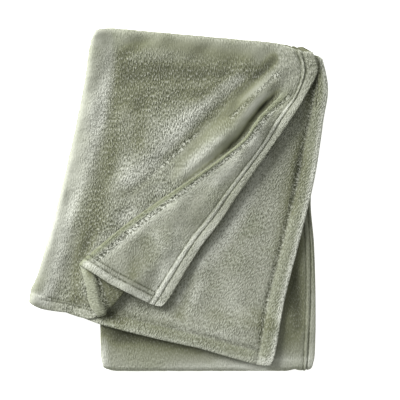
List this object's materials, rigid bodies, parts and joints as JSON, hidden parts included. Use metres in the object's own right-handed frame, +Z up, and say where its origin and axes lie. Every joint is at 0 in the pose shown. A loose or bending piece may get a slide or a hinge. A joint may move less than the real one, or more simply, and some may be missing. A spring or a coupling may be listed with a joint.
{
  "type": "fleece throw",
  "caption": "Plush fleece throw blanket folded lengthwise, laid over on itself with one corner flap turned back, resting flat.",
  "frame": {"origin": "centre of the footprint, on the surface the folded throw lies on", "axes": "+Z up from the surface, +Y along the folded throw towards its top fold, +X to the right"},
  "size_m": [0.7968, 0.9162, 0.0651],
  "materials": {
    "fleece": "matte plush pile"
  },
  "bodies": {
    "root": {"throw": "fleece"}
  },
  "joints": []
}
